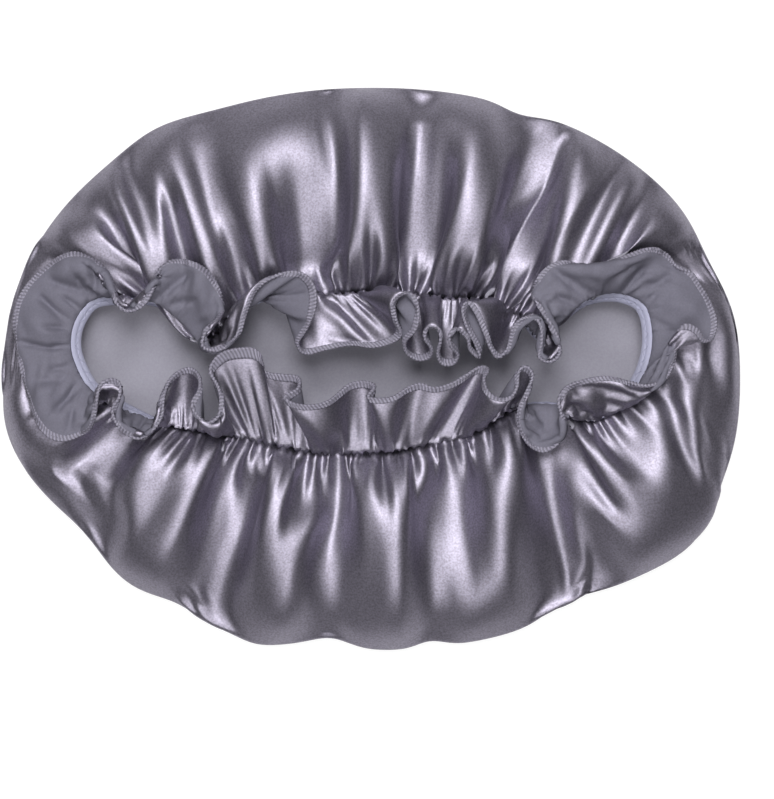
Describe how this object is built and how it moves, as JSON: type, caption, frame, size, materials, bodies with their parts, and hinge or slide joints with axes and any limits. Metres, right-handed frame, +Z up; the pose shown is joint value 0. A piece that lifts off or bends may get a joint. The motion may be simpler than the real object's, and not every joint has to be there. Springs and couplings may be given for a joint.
{
  "type": "satin sleep bonnet",
  "caption": "Round satin sleep bonnet lying on its crown, with an elastic gathered mouth, a turned ruffle and an overlocked rim.",
  "frame": {"origin": "centre of the part's box, on the surface that the crown lies on", "axes": "+X along the long way of the mouth, towards the end that is pulled; +Y towards the back of the bonnet; +Z up, out of the mouth"},
  "size_m": [0.3428, 0.2618, 0.0499],
  "materials": {
    "satin": "grey-lavender polyester satin, shiny outside and matte inside",
    "elastic": "pale braided elastic tape",
    "thread": "grey-lavender sewing thread"
  },
  "bodies": {
    "bonnet": {"crown": "satin", "crown_underside": "satin", "elastic_band": "elastic", "elastic_lap": "elastic", "lap_bartack": "thread", "gather_stitching": "thread", "ruffle_back": "satin", "overlock_back": "thread", "ruffle_front": "satin", "overlock_front": "thread", "ruffle_left": "satin", "overlock_left_back": "thread", "overlock_left_front": "thread"},
    "right_end": {"ruffle_right": "satin", "overlock_right_back": "thread", "overlock_right_front": "thread"},
    "left_tip": {"ruffle_left_tip": "satin", "overlock_left_tip": "thread"},
    "right_tip": {"ruffle_right_tip": "satin", "overlock_right_tip": "thread"}
  },
  "joints": [
    {"name": "mouth_stretch", "type": "slide", "parent": "bonnet", "child": "right_end", "axis": [1, 0, 0], "range_m": [0, 0.05], "stiffness_N_per_m": 40, "deforming": ["elastic_band", "gather_stitching"]},
    {"name": "left_tip_fold", "type": "hinge", "parent": "bonnet", "child": "left_tip", "pos_m": [-0.14326, 0.0067, 0.0271], "axis": [0, 1, 0], "range_deg": [0, 90]},
    {"name": "right_tip_fold", "type": "hinge", "parent": "right_end", "child": "right_tip", "pos_m": [0.13374, 0.0067, 0.0277], "axis": [0, -1, 0], "range_deg": [0, 90]}
  ]
}
